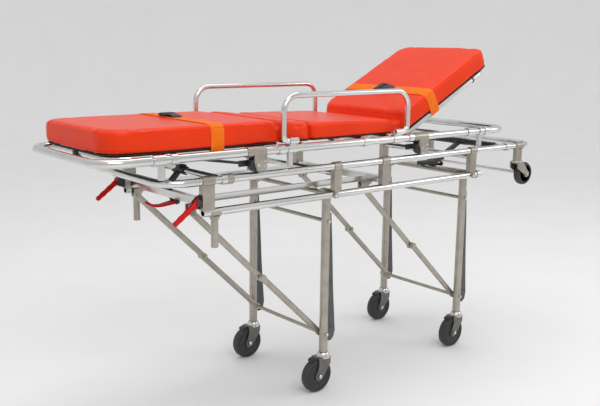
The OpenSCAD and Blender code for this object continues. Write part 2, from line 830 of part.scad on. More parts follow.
top_rails();
top_bows();
rail_sleeves();
stretcher_cross_tubes();
stretcher_posts();
wheel_brackets();
wheel_struts();
side_rail_brackets();
back_pivots();
hip_pad();
seat_pad();
leg_frame();
leg_pad();
leg_strap();
back_frame();
back_pad();
back_strap();
side_rail(-1);  // side_rail_near
side_rail(1);  // side_rail_far
mid_rails();
mid_bows();
low_rails();
rail_blocks();
guide_bars();
chassis_cross_tubes();
pivot_shafts();
brace_anchors();
rest_stubs();
lever_brackets();
foot_lock();
head_lock();
loading_forks();
loading_axle();
leg_tubes(foot_x);  // foot_leg_tubes
leg_bars(foot_x);  // foot_leg_bars
guards(foot_x);  // foot_guards
leg_tubes(head_x);  // head_leg_tubes
leg_bars(head_x);  // head_leg_bars
guards(head_x);  // head_guards
brace_upper(foot_x);  // foot_brace_upper
brace_lower(foot_x);  // foot_brace_lower
brace_upper(head_x);  // head_brace_upper
brace_lower(head_x);  // head_brace_lower
for (i = [0 : 3]) {
  caster_fork(i);
  caster_wheel(i);
  guide_wheel(i);
}
loading_wheel(-1);  // loading_wheel_near
loading_wheel(1);  // loading_wheel_far
release_lever(-1);  // release_lever_near
release_lever(1);  // release_lever_far
lock_handle();
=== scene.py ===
"""Looks of the ambulance stretcher trolley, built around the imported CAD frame.

Everything is in metres in the row frame: +X to the head end, +Y to the far side, +Z up.
"""

import json
import math

import bmesh
import bpy
from mathutils import Matrix, Vector, noise
from mathutils.bvhtree import BVHTree


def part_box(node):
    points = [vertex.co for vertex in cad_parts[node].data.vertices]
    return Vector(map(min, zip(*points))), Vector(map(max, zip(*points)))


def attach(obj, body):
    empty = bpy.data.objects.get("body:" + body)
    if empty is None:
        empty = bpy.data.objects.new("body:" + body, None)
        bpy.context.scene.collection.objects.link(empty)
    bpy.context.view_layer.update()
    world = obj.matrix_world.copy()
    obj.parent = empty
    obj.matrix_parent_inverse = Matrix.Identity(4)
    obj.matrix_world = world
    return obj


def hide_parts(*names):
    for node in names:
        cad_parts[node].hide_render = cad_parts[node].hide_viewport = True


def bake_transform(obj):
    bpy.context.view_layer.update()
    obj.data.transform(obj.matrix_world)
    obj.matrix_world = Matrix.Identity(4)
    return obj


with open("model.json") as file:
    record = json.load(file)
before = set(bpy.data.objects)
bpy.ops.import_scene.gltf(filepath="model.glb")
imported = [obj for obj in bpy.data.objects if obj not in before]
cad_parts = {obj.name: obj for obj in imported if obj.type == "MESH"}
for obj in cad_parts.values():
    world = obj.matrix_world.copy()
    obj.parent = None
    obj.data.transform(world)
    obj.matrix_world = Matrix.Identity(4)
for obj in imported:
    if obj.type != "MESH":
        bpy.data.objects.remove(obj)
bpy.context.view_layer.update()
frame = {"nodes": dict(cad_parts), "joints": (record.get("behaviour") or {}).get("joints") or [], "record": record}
nodes = frame["nodes"]
joints = {j["name"]: j for j in frame["joints"]}

SIDES = {"near": -1, "far": 1}
CORNERS = ["foot_near", "foot_far", "head_near", "head_far"]
X = Vector((1, 0, 0))
Y = Vector((0, 1, 0))
Z = Vector((0, 0, 1))

# ---- Places taken from the frame ----

RAIL_Y = (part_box("top_rails")[1].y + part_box("mid_rails")[1].y - 0.027) / 2
TOP_R = (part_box("top_rails")[1].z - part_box("top_rails")[0].z) / 2
TOP_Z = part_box("top_rails")[0].z + TOP_R
MID_R = (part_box("mid_rails")[1].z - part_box("mid_rails")[0].z) / 2
MID_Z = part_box("mid_rails")[0].z + MID_R
LOW_Z = (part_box("low_rails")[0].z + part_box("low_rails")[1].z) / 2
BACK_HINGE = Vector(joints["backrest_tilt"]["pos_m"])
BACK_ANGLE = -math.radians(joints["backrest_tilt"]["range_deg"][0])
LEG_HINGE = Vector(joints["leg_rest_tilt"]["pos_m"])
PAD_LOW, PAD_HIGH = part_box("seat_pad")
PAD_Y = PAD_HIGH.y
PAD_Z = PAD_LOW.z
SEAT_TOP = PAD_HIGH.z
BACK_TUBE_R = 0.011
LEG_TUBE_R = 0.010
RAIL_BLOCK_X = (-0.678, -0.127, 0.116, 0.633)

# The backrest parts are built level about their hinge and then raised
TO_HINGE = Matrix.Translation(-BACK_HINGE)
RAISE = TO_HINGE.inverted() @ Matrix.Rotation(-BACK_ANGLE, 4, "Y") @ TO_HINGE


def level_box(node):
    """The low and high corners of a backrest part when it lies level."""
    obj = nodes[node]
    lower = RAISE.inverted() @ obj.matrix_world
    points = [lower @ v.co for v in obj.data.vertices]
    low = Vector([min(p[k] for p in points) for k in range(3)])
    high = Vector([max(p[k] for p in points) for k in range(3)])
    return low, high


# ---- Materials ----


def material(name, low, high, roughness, metallic=0.0, scale=30.0, stretch=(1, 1, 1), rough_spread=0.06,
             bump=0.0, bump_scale=300.0, specular=0.5):
    """A Principled material whose colour and roughness wander between two values."""
    mat = bpy.data.materials.new(name)
    mat.use_nodes = True
    tree = mat.node_tree
    shader = tree.nodes["Principled BSDF"]
    shader.inputs["Metallic"].default_value = metallic
    shader.inputs["Specular IOR Level"].default_value = specular
    place = tree.nodes.new("ShaderNodeTexCoord")
    mapping = tree.nodes.new("ShaderNodeMapping")
    mapping.inputs["Scale"].default_value = stretch
    tree.links.new(place.outputs["Object"], mapping.inputs["Vector"])
    cloud = tree.nodes.new("ShaderNodeTexNoise")
    cloud.inputs["Scale"].default_value = scale
    cloud.inputs["Detail"].default_value = 4.0
    tree.links.new(mapping.outputs["Vector"], cloud.inputs["Vector"])
    ramp = tree.nodes.new("ShaderNodeValToRGB")
    ramp.color_ramp.elements[0].position = 0.3
    ramp.color_ramp.elements[1].position = 0.7
    ramp.color_ramp.elements[0].color = (*low, 1)
    ramp.color_ramp.elements[1].color = (*high, 1)
    tree.links.new(cloud.outputs["Fac"], ramp.inputs["Fac"])
    tree.links.new(ramp.outputs["Color"], shader.inputs["Base Color"])
    spread = tree.nodes.new("ShaderNodeMapRange")
    spread.inputs["To Min"].default_value = roughness - rough_spread
    spread.inputs["To Max"].default_value = roughness + rough_spread
    tree.links.new(cloud.outputs["Fac"], spread.inputs["Value"])
    tree.links.new(spread.outputs["Result"], shader.inputs["Roughness"])
    if bump:
        grain = tree.nodes.new("ShaderNodeTexNoise")
        grain.inputs["Scale"].default_value = bump_scale
        grain.inputs["Detail"].default_value = 3.0
        tree.links.new(mapping.outputs["Vector"], grain.inputs["Vector"])
        height = tree.nodes.new("ShaderNodeBump")
        height.inputs["Strength"].default_value = bump
        height.inputs["Distance"].default_value = 0.001
        tree.links.new(grain.outputs["Fac"], height.inputs["Height"])
        tree.links.new(height.outputs["Normal"], shader.inputs["Normal"])
    return mat


def woven(name, low, high, roughness, pitch):
    """Webbing: fine ribs across the strap over a slow change of colour."""
    mat = material(name, low, high, roughness, scale=60.0, rough_spread=0.04, specular=0.2)
    tree = mat.node_tree
    shader = tree.nodes["Principled BSDF"]
    mapping = tree.nodes["Mapping"]
    ribs = tree.nodes.new("ShaderNodeTexWave")
    ribs.bands_direction = "X"
    ribs.inputs["Scale"].default_value = 1 / (pitch * 20)
    ribs.inputs["Distortion"].default_value = 0.6
    tree.links.new(mapping.outputs["Vector"], ribs.inputs["Vector"])
    height = tree.nodes.new("ShaderNodeBump")
    height.inputs["Strength"].default_value = 0.35
    height.inputs["Distance"].default_value = 0.0006
    tree.links.new(ribs.outputs["Fac"], height.inputs["Height"])
    tree.links.new(height.outputs["Normal"], shader.inputs["Normal"])
    return mat


M = {
    "polished_alloy": material("polished_alloy", (0.66, 0.655, 0.645), (0.78, 0.775, 0.765), 0.17, 1.0,
                               scale=14, stretch=(0.25, 1, 1), bump=0.04, bump_scale=500),
    "satin_alloy": material("satin_alloy", (0.37, 0.335, 0.29), (0.47, 0.43, 0.375), 0.34, 0.9,
                            scale=25, bump=0.08, bump_scale=700),
    "dark_metal": material("dark_metal", (0.020, 0.020, 0.022), (0.040, 0.040, 0.043), 0.42, 0.0,
                           scale=40, bump=0.06, bump_scale=600),
    "guard_grey": material("guard_grey", (0.070, 0.070, 0.074), (0.095, 0.095, 0.100), 0.55, 0.0,
                           scale=20, bump=0.05, bump_scale=400),
    "caster_metal": material("caster_metal", (0.15, 0.14, 0.125), (0.21, 0.195, 0.175), 0.34, 0.8,
                             scale=45, bump=0.08, bump_scale=800),
    "tyre_grey": material("tyre_grey", (0.024, 0.024, 0.026), (0.040, 0.040, 0.043), 0.50, 0.0,
                          scale=60, bump=0.10, bump_scale=900),
    "vinyl_orange": material("vinyl_orange", (0.78, 0.034, 0.001), (0.86, 0.042, 0.002), 0.32, 0.0,
                             scale=7, bump=0.10, bump_scale=900, specular=0.21),
    "webbing_orange": woven("webbing_orange", (0.84, 0.15, 0.002), (0.92, 0.19, 0.004), 0.6, 0.0016),
    "control_red": material("control_red", (0.54, 0.002, 0.003), (0.64, 0.003, 0.005), 0.34, 0.0,
                            scale=50, specular=0.2),
    "black_plastic": material("black_plastic", (0.010, 0.010, 0.011), (0.022, 0.022, 0.024), 0.36, 0.0,
                              scale=60, bump=0.05, bump_scale=700),
    "board_black": material("board_black", (0.012, 0.011, 0.011), (0.028, 0.026, 0.025), 0.7, 0.0,
                            scale=50, bump=0.1, bump_scale=400),
    "bright_steel": material("bright_steel", (0.62, 0.62, 0.63), (0.74, 0.74, 0.75), 0.20, 1.0, scale=80),
}


def paint(obj, mat_name, sharp_deg=32):
    """Gives a mesh one material and smooth shading with sharp edges above an angle."""
    obj.data.materials.clear()
    obj.data.materials.append(M[mat_name])
    for face in obj.data.polygons:
        face.use_smooth = True
        face.material_index = 0
    obj.data.set_sharp_from_angle(angle=math.radians(sharp_deg))


def paint_frame():
    """Every CAD node takes the material of its slot in the record."""
    for entry in frame["record"]["subparts"]:
        obj = nodes[entry["node"]]
        obj.data.materials.clear()
        obj.data.materials.append(M[entry["material_slot"]])


# ---- Mesh helpers ----


def piece(name, bm, mat_name, body, sharp_deg=32):
    """Turns a bmesh into a painted object that rides on a body."""
    bmesh.ops.recalc_face_normals(bm, faces=bm.faces)
    mesh = bpy.data.meshes.new(name)
    bm.to_mesh(mesh)
    bm.free()
    obj = bpy.data.objects.new(name, mesh)
    bpy.context.scene.collection.objects.link(obj)
    paint(obj, mat_name, sharp_deg)
    if body:
        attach(obj, body)
    return obj


def frame_along(tangent, side):
    """Two unit vectors across a tangent, the first as near to side as it can be."""
    t = tangent.normalized()
    s = (side - t * side.dot(t)).normalized()
    return s, t.cross(s)


def sweep(bm, path, section, side, closed=False):
    """Draws a section, a list of (across, up) points or a function of the share of the path, along a path."""
    rings = []
    count = len(path)
    for i, p in enumerate(path):
        before = path[i - 1] if i or closed else p
        after = path[(i + 1) % count] if i < count - 1 or closed else p
        s, n = frame_along(after - before, side)
        points = section(i / (count - 1)) if callable(section) else section
        rings.append([bm.verts.new(p + s * u + n * v) for u, v in points])
    pairs = list(zip(rings, rings[1:]))
    if closed:
        pairs.append((rings[-1], rings[0]))
    for a, b in pairs:
        for k in range(len(a)):
            bm.faces.new((a[k - 1], a[k], b[k], b[k - 1]))
    if not closed:
        bm.faces.new(rings[0])
        bm.faces.new(rings[-1])


def circle(r, steps=16):
    """Points round a circle about the origin."""
    turns = [2 * math.pi * k / steps for k in range(steps)]
    return [(r * math.cos(a), r * math.sin(a)) for a in turns]


def rounded_rect(w, h, r, steps=3):
    """A rectangle of width w and height h about the origin with rounded corners."""
    out = []
    for cx, cy, a0 in ((1, 1, 0), (-1, 1, 90), (-1, -1, 180), (1, -1, 270)):
        for k in range(steps + 1):
            a = math.radians(a0 + 90 * k / steps)
            out.append((cx * (w / 2 - r) + r * math.cos(a), cy * (h / 2 - r) + r * math.sin(a)))
    return out


def tube(bm, path, r, side=Y, steps=16, closed=False):
    """A round bar along a path."""
    sweep(bm, [Vector(p) for p in path], circle(r, steps), side, closed)


def rod(bm, a, b, r, steps=20):
    """A plain cylinder from a to b."""
    a, b = Vector(a), Vector(b)
    along = (b - a).normalized()
    sweep(bm, [a, b], circle(r, steps), Z if abs(along.z) < 0.9 else X)


def lathe(bm, centre, axis, profile, steps=32, ring=False):
    """Turns a profile of (radius, height) about an axis. A ring joins its two ends, any other has caps."""
    s, n = frame_along(Vector(axis), Z if abs(Vector(axis).normalized().z) < 0.9 else X)
    t = Vector(axis).normalized()
    rings = []
    for r, h in profile:
        loop = []
        for k in range(steps):
            a = 2 * math.pi * k / steps
            out = s * math.cos(a) + n * math.sin(a)
            loop.append(bm.verts.new(Vector(centre) + t * h + out * max(r, 1e-5)))
        rings.append(loop)
    for a, b in zip(rings, rings[1:]):
        for k in range(steps):
            bm.faces.new((a[k - 1], a[k], b[k], b[k - 1]))
    if ring:
        for k in range(steps):
            bm.faces.new((rings[-1][k - 1], rings[-1][k], rings[0][k], rings[0][k - 1]))
    else:
        bm.faces.new(rings[0])
        bm.faces.new(rings[-1])


def block(bm, centre, size, bevel=0.0, turn=None, segments=2):
    """A box about centre, its edges rounded by bevel, turned by a rotation matrix."""
    made = bmesh.ops.create_cube(bm, size=1.0)["verts"]
    bmesh.ops.scale(bm, vec=Vector(size), verts=made)
    if bevel:
        edges = list({e for v in made for e in v.link_edges})
        made = bmesh.ops.bevel(bm, geom=edges, offset=bevel, segments=segments, affect="EDGES",
                               profile=0.6)["verts"]
    place = Matrix.Translation(Vector(centre)) @ (turn.to_4x4() if turn else Matrix.Identity(4))
    bmesh.ops.transform(bm, matrix=place, verts=list(set(made)))


def prism(bm, outline, y0, y1):
    """A plate between y0 and y1 with an outline of (x, z) points."""
    a = [bm.verts.new((x, y0, z)) for x, z in outline]
    b = [bm.verts.new((x, y1, z)) for x, z in outline]
    for k in range(len(a)):
        bm.faces.new((a[k - 1], a[k], b[k], b[k - 1]))
    bm.faces.new(a)
    bm.faces.new(b)


def hex_bolt(bm, centre, axis, r, height):
    """A hexagon head with a small washer, seen from outside."""
    axis = Vector(axis)
    washer = [(r * 1.35, 0), (r * 1.35, height * 0.2)]
    head = [(r, 0), (r, height * 0.7), (r * 0.8, height * 0.8)]
    lathe(bm, Vector(centre), axis, washer, steps=20)
    lathe(bm, Vector(centre) + axis * height * 0.2, axis, head, steps=6)


def button_bolt(bm, centre, axis, r, height):
    """A low round bolt head with a socket."""
    head = [(r, 0), (r, height * 0.35), (r * 0.78, height * 0.85), (r * 0.45, height),
            (r * 0.42, height * 0.5)]
    lathe(bm, Vector(centre), Vector(axis), head, steps=16)


# ---- Cushions ----


def plan(x0, x1, half, r0, r1, steps=7):
    """A plan outline from x0 to x1 with corner radii r0 and r1. A pair for r0 gives its near and far corner."""
    near0, far0 = r0 if isinstance(r0, tuple) else (r0, r0)
    out = []
    corners = ((x1, half, r1, 0), (x0, half, far0, 90), (x0, -half, near0, 180), (x1, -half, r1, 270))
    for cx, cy, r, a0 in corners:
        mx = cx - r if cx == x1 else cx + r
        my = cy - r if cy > 0 else cy + r
        for k in range(steps + 1):
            a = math.radians(a0 + 90 * k / steps)
            out.append((mx + r * math.cos(a), my + r * math.sin(a)))
    return out


def shell(name, x0, x1, half, r0, r1, z0, z1, edge, lean0=0.0, lean1=0.0, fall=0.0):
    """A closed pad form: lean0 and lean1 shift the top of its two ends along X, fall lowers its top at x1."""
    bm = bmesh.new()
    outline = plan(x0, x1, half, r0, r1)
    low = [bm.verts.new((x, y, z0)) for x, y in outline]
    high = [bm.verts.new((x, y, z1)) for x, y in outline]
    for k in range(len(low)):
        bm.faces.new((low[k - 1], low[k], high[k], high[k - 1]))
    bm.faces.new(low)
    bm.faces.new(high)
    rims = [e for e in bm.edges if abs(e.verts[0].co.z - e.verts[1].co.z) < 1e-6]
    bmesh.ops.bevel(bm, geom=rims, offset=edge, segments=3, affect="EDGES", profile=0.55)
    for v in bm.verts:
        share = (v.co.x - x0) / (x1 - x0)
        rise = (v.co.z - z0) / (z1 - z0)
        v.co.x += rise * (lean0 * (1 - share) + lean1 * share)
        v.co.z -= rise * fall * share
    bmesh.ops.recalc_face_normals(bm, faces=bm.faces)
    mesh = bpy.data.meshes.new(name)
    bm.to_mesh(mesh)
    bm.free()
    obj = bpy.data.objects.new(name, mesh)
    bpy.context.scene.collection.objects.link(obj)
    return obj


def baked(obj):
    """Replaces an object's mesh by what its modifiers make of it."""
    graph = bpy.context.evaluated_depsgraph_get()
    mesh = bpy.data.meshes.new_from_object(obj.evaluated_get(graph))
    obj.modifiers.clear()
    obj.data = mesh


def capped(move, limit):
    """A move eased so that it never gets past a limit."""
    return limit * math.tanh(move / limit)


def puff(obj, voxel, pressure, cap, floor_z, frames=20):
    """Blows a pad up with a cloth simulation, then limits how far each point moved."""
    remesh = obj.modifiers.new("Remesh", "REMESH")
    remesh.mode = "VOXEL"
    remesh.voxel_size = voxel
    baked(obj)
    smooth = obj.modifiers.new("Smooth", "SMOOTH")
    smooth.iterations = 4
    baked(obj)
    rest = [v.co.copy() for v in obj.data.vertices]
    cloth = obj.modifiers.new("Cloth", "CLOTH")
    settings = cloth.settings
    settings.use_pressure = True
    settings.uniform_pressure_force = pressure
    settings.quality = 4
    settings.tension_stiffness = 25
    settings.compression_stiffness = 10
    settings.bending_stiffness = 0.4
    settings.effector_weights.gravity = 0
    scene = bpy.context.scene
    for step in range(1, frames + 1):
        scene.frame_set(step)
    baked(obj)
    scene.frame_set(1)
    for v, start in zip(obj.data.vertices, rest):
        d = v.co - start
        v.co = start + Vector((capped(d.x, cap[0]), capped(d.y, cap[1]), capped(d.z, cap[2])))
        v.co.z = max(v.co.z, floor_z)


def fold(co, a, b, width):
    """How much of a fold's height a point gets: 1 on the line from a to b, less with distance."""
    ab = b - a
    t = min(1.0, max(0.0, (co - a).dot(ab) / ab.length_squared))
    reach = math.sin(math.pi * min(1.0, max(0.0, t * 0.92 + 0.04)))
    return reach * math.exp(-((co - a - ab * t).length / width) ** 2)


def wrinkle(obj, folds, swell=0.0008, swell_size=0.09):
    """Presses folds, each (start, end, height, width), and a slow swell into the skin of a pad."""
    normals = [v.normal.copy() for v in obj.data.vertices]
    for v, n in zip(obj.data.vertices, normals):
        amount = noise.noise(v.co / swell_size) * swell
        for a, b, height, width in folds:
            amount += height * fold(v.co, Vector(a), Vector(b), width)
        if n.z > -0.5:
            v.co += n * amount


def cushion(name, node, form, cap, folds, pressure=4.0, voxel=0.006):
    """A cover full of foam, in the place of a CAD pad."""
    obj = shell(name, *form)
    puff(obj, voxel, pressure, cap, form[5])
    wrinkle(obj, folds)
    paint(obj, "vinyl_orange", 180)
    subdivide = obj.modifiers.new("Subdivision", "SUBSURF")
    subdivide.levels = 1
    subdivide.render_levels = 1
    baked(obj)
    paint(obj, "vinyl_orange", 180)
    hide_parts(node)
    return obj


def raise_piece(obj):
    """Turns a piece that was built level about the backrest hinge to the backrest's angle."""
    obj.data.transform(RAISE)
    obj.data.update()


BOARD_T = 0.0035                # board under each cushion
EDGE = 0.013                    # rounding of a cushion's rims
FOOT_R = (0.078, 0.050)         # near and far corners at the foot end
HEAD_R = 0.050                  # corners at the head end
BACK_R = 0.040                  # corners of the back cushion next to the seat
LEG_R = 0.012                   # corners of the leg and hip cushions at the leg rest's hinge
CREASE_R = 0.020                # corners at the crease between hip and seat
SEAT_R = 0.014                  # corners of the seat cushion next to the back
IN = 0.003                      # how far a cushion starts inside its CAD pad
CAP = (0.003, 0.0035, 0.005)    # how far the simulation may move a point, along X, Y and Z
FLAT_CAP = (0.0015, 0.0035, 0.004)

leg_low, leg_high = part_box("leg_pad")
hip_low, hip_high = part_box("hip_pad")
back_low, back_high = level_box("back_pad")
BASE_Z = PAD_Z + BOARD_T
DROP = 0.004                    # how far a cushion's top starts under its CAD pad's top
LEG_LEAN = 0.014                # how far the top of a cushion's end stands back from its foot
BACK_LEAN = 0.046
SEAT_LEAN = 0.008
CREASE_SEAT = (hip_high.x + PAD_LOW.x) / 2


def side_folds(x0, x1, top, seed, count, lean=0.3):
    """Short folds that run down both side walls from the top edge near a seam."""
    out = []
    for k in range(count):
        x = x0 + (x1 - x0) * (k + 0.5) / count + 0.006 * noise.noise(Vector((seed, k * 1.7, 0)))
        for s in SIDES.values():
            y = s * PAD_Y
            depth = 0.030 + 0.014 * noise.noise(Vector((k * 2.3, seed, s)))
            out.append(((x, y - s * 0.004, top), (x + lean * 0.03, y, top - depth), -0.0022, 0.005))
    return out


def gather(x, top, half, lean, seed):
    """Folds that fan out over a cushion's top from the near and far ends of a seam at x."""
    out = []
    for s in SIDES.values():
        for k in range(4):
            start = (x + lean * 0.006 * k, s * (half - 0.004 - 0.014 * k), top)
            spread = 0.035 + 0.012 * k + 0.010 * noise.noise(Vector((seed, k * 1.9, s)))
            end = (x + lean * spread, s * (half - 0.020 - 0.030 * k), top)
            out.append((start, end, (-0.0030, 0.0022)[k % 2], 0.006 + 0.001 * k))
    return out


def make_cushions():
    """The four cushions. The back one is made level and raised later."""
    leg_folds = side_folds(leg_high.x - 0.07, leg_high.x - 0.02, leg_high.z, 3.1, 2)
    leg_form = (leg_low.x + IN, leg_high.x - 0.001, PAD_Y - IN, FOOT_R, LEG_R, BASE_Z, leg_high.z - DROP,
                EDGE, 0.0, -LEG_LEAN)
    leg = cushion("leg_cushion", "leg_pad", leg_form, CAP, leg_folds)
    hip_folds = side_folds(hip_low.x + 0.02, CREASE_SEAT - 0.01, hip_high.z, 7.7, 3, -0.2)
    hip_folds += gather(CREASE_SEAT - 0.006, hip_high.z, PAD_Y, -1, 1.3)
    hip_form = (hip_low.x + 0.001, CREASE_SEAT - 0.001, PAD_Y - IN, LEG_R, CREASE_R, BASE_Z,
                hip_high.z - DROP, EDGE, 0.0, -SEAT_LEAN, 0.012)
    hip = cushion("hip_cushion", "hip_pad", hip_form, FLAT_CAP, hip_folds)
    seat_folds = side_folds(CREASE_SEAT + 0.012, CREASE_SEAT + 0.05, SEAT_TOP, 5.3, 2)
    seat_folds += gather(CREASE_SEAT + 0.006, SEAT_TOP, PAD_Y, 1, 4.2)
    seat_folds += side_folds(PAD_HIGH.x - 0.09, PAD_HIGH.x - 0.02, SEAT_TOP, 9.2, 3, -0.4)
    seat_folds.append(((-0.06, -0.10, SEAT_TOP), (0.14, 0.02, SEAT_TOP), -0.0018, 0.016))
    seat_folds.append(((-0.20, 0.10, SEAT_TOP), (0.02, 0.16, SEAT_TOP), -0.0014, 0.018))
    seat_form = (CREASE_SEAT + 0.001, PAD_HIGH.x - 0.002, PAD_Y - IN, CREASE_R, SEAT_R, BASE_Z,
                 SEAT_TOP - DROP / 2, EDGE, 0.0, -SEAT_LEAN, 0.010)
    seat = cushion("seat_cushion", "seat_pad", seat_form, FLAT_CAP, seat_folds)
    top = back_high.z
    x0 = back_low.x
    near = -PAD_Y
    back_folds = [
        ((x0 + 0.03, near + 0.02, top), (x0 + 0.16, near + 0.13, top), 0.0026, 0.012),
        ((x0 + 0.03, near + 0.05, top), (x0 + 0.12, near + 0.20, top), -0.0024, 0.013),
        ((x0 + 0.10, near + 0.01, top), (x0 + 0.17, near + 0.09, top), -0.0022, 0.009),
        ((x0 + 0.24, near + 0.06, top), (x0 + 0.34, near + 0.18, top), 0.0020, 0.016),
        ((x0 + 0.26, near + 0.02, top), (x0 + 0.33, near + 0.10, top), -0.0018, 0.012),
        ((x0 + 0.04, 0.06, top), (x0 + 0.14, 0.17, top), 0.0018, 0.015),
        ((x0 + 0.30, 0.02, top), (x0 + 0.44, 0.16, top), -0.0014, 0.022),
    ]
    back_folds += side_folds(x0 + 0.03, x0 + 0.10, top, 2.4, 3, 0.5)
    back_form = (x0 + 0.002, back_high.x - IN, PAD_Y - IN, BACK_R, HEAD_R, BASE_Z, top - DROP, EDGE,
                 BACK_LEAN, 0.0)
    back = cushion("back_cushion", "back_pad", back_form, CAP, back_folds)
    return leg, hip, seat, back


def surface(obj):
    """A tree for finding where rays meet a piece, while it is still level."""
    mesh = obj.data
    return BVHTree.FromPolygons([v.co for v in mesh.vertices], [p.vertices for p in mesh.polygons])


def welt(bm, tree, form, z, inset=0.0):
    """A sewn piping round a pad, found by looking inwards at one height."""
    x0, x1, half, r0, r1 = form[:5]
    path = []
    outline = plan(x0, x1, half, r0, r1, steps=6)
    fine = []
    for k, (x, y) in enumerate(outline):
        ax, ay = outline[k - 1]
        cuts = max(1, int(math.hypot(x - ax, y - ay) / 0.03))
        fine += [(ax + (x - ax) * c / cuts, ay + (y - ay) * c / cuts) for c in range(cuts)]
    centre = Vector(((x0 + x1) / 2, 0, z))
    for x, y in fine:
        bend = max(r0) if isinstance(r0, tuple) else r0
        inner = Vector((min(max(x, x0 + bend), x1 - r1), min(max(y, -half + 0.06), half - 0.06), z))
        out = Vector((x, y, z)) - inner
        if out.length < 0.004:
            out = Vector((x, y, z)) - centre
        out.normalize()
        hit = tree.ray_cast(Vector((x, y, z)) + out * 0.05, -out, 0.12)[0]
        if hit:
            path.append(hit - out * inset)
    tube(bm, path, 0.0017, side=Z, steps=8, closed=True)


def board(name, x0, x1, half, r0, r1, body, raised=False):
    """The black board under a cushion."""
    obj = shell(name, x0, x1, half, r0, r1, PAD_Z, PAD_Z + BOARD_T, 0.001)
    if raised:
        raise_piece(obj)
    paint(obj, "board_black", 30)
    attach(obj, body)


def web_filler(name, x_low, x_high, valley, body_a, body_b=None):
    """Cover cloth that joins two cushions at the bottom of a crease.

    x_low and x_high are the crease's two walls, each as a bottom and a top point (x, z).
    """
    bm = bmesh.new()
    rows = 14
    half = PAD_Y - 0.026
    (ax0, az0), (ax1, az1) = x_low
    (bx0, bz0), (bx1, bz1) = x_high
    vx, vz = valley
    section = [(ax0, az0), (ax1, az1), ((ax1 + vx) / 2, (az1 + vz) / 2 - 0.004), (vx, vz),
               ((bx1 + vx) / 2, (bz1 + vz) / 2 - 0.004), (bx1, bz1), (bx0, bz0)]
    rings = []
    for k in range(rows + 1):
        y = -half + 2 * half * k / rows
        pull = 1.0 if 0 < k < rows else 0.86
        mid_x = sum(p[0] for p in section) / len(section)
        ring = []
        for i, (x, z) in enumerate(section):
            ripple = 0.0012 * noise.noise(Vector((x * 30, y * 25, z * 30)))
            ring.append(bm.verts.new((mid_x + (x - mid_x) * pull, y, PAD_Z + (z - PAD_Z) * pull + ripple)))
        rings.append(ring)
    for a, b in zip(rings, rings[1:]):
        for k in range(len(a)):
            bm.faces.new((a[k - 1], a[k], b[k], b[k - 1]))
    bm.faces.new(rings[0])
    bm.faces.new(rings[-1])
    bmesh.ops.subdivide_edges(bm, edges=bm.edges, cuts=1, use_grid_fill=True, smooth=0.4)
    obj = piece(name, bm, "vinyl_orange", None if body_b else body_a, sharp_deg=60)
    if body_b:
        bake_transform(obj)


def make_seams(leg, hip, seat, back):
    """Piping, boards and the cloth in the creases. The back cushion is still level here."""
    forms = {
        "leg": (leg, (leg_low.x, leg_high.x - 0.010, PAD_Y, FOOT_R, LEG_R), leg_high.z, "leg_rest"),
        "hip": (hip, (hip_low.x, CREASE_SEAT, PAD_Y, LEG_R, CREASE_R), hip_high.z - 0.008, "stretcher"),
        "seat": (seat, (CREASE_SEAT, PAD_HIGH.x - 0.006, PAD_Y, CREASE_R, SEAT_R), SEAT_TOP - 0.004,
                 "stretcher"),
        "back": (back, (back_low.x + 0.012, back_high.x, PAD_Y, BACK_R, HEAD_R), back_high.z, "backrest"),
    }
    for key, (obj, form, top, body) in forms.items():
        tree = surface(obj)
        bm = bmesh.new()
        welt(bm, tree, form, top - 0.010, 0.0006)
        welt(bm, tree, form, BASE_Z + 0.006, 0.0006)
        seam = piece(key + "_welts", bm, "vinyl_orange", None, sharp_deg=180)
        if key == "back":
            raise_piece(seam)
        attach(seam, body)
    half = PAD_Y - 0.009
    board("leg_board", leg_low.x + 0.010, leg_high.x - 0.006, half, FOOT_R, 0.01, "leg_rest")
    board("hip_board", hip_low.x + 0.003, hip_high.x - 0.003, half, 0.01, 0.01, "stretcher")
    board("seat_board", PAD_LOW.x + 0.003, PAD_HIGH.x - 0.003, half, 0.01, 0.01, "stretcher")
    board("back_board", back_low.x + 0.006, back_high.x - 0.012, half, 0.036, HEAD_R - 0.008, "backrest",
          raised=True)

    top = hip_high.z - 0.014
    web_filler("hip_crease", ((leg_high.x - 0.006, BASE_Z), (leg_high.x - 0.016, top)),
               ((hip_low.x + 0.003, BASE_Z), (hip_low.x + 0.003, top)),
               ((leg_high.x + hip_low.x) / 2 - 0.004, top - 0.012), "stretcher", "leg_rest")
    top = SEAT_TOP - 0.012
    web_filler("seat_crease", ((CREASE_SEAT - 0.004, BASE_Z), (CREASE_SEAT - 0.006, top)),
               ((CREASE_SEAT + 0.004, BASE_Z), (CREASE_SEAT + 0.004, top)),
               (CREASE_SEAT, top - 0.006), "stretcher")
    low = RAISE @ Vector((back_low.x + 0.006, 0, BASE_Z))
    high = RAISE @ Vector((back_low.x + BACK_LEAN + 0.004, 0, top))
    web_filler("back_crease", ((PAD_HIGH.x - 0.008, BASE_Z), (PAD_HIGH.x - 0.010, top)),
               ((low.x, low.z), (high.x, high.z)),
               ((PAD_HIGH.x + high.x) / 2 - 0.008, top - 0.014), "stretcher", "backrest")


# ---- Straps ----

STRAP_T = 0.0024
STRAP_W = 0.050


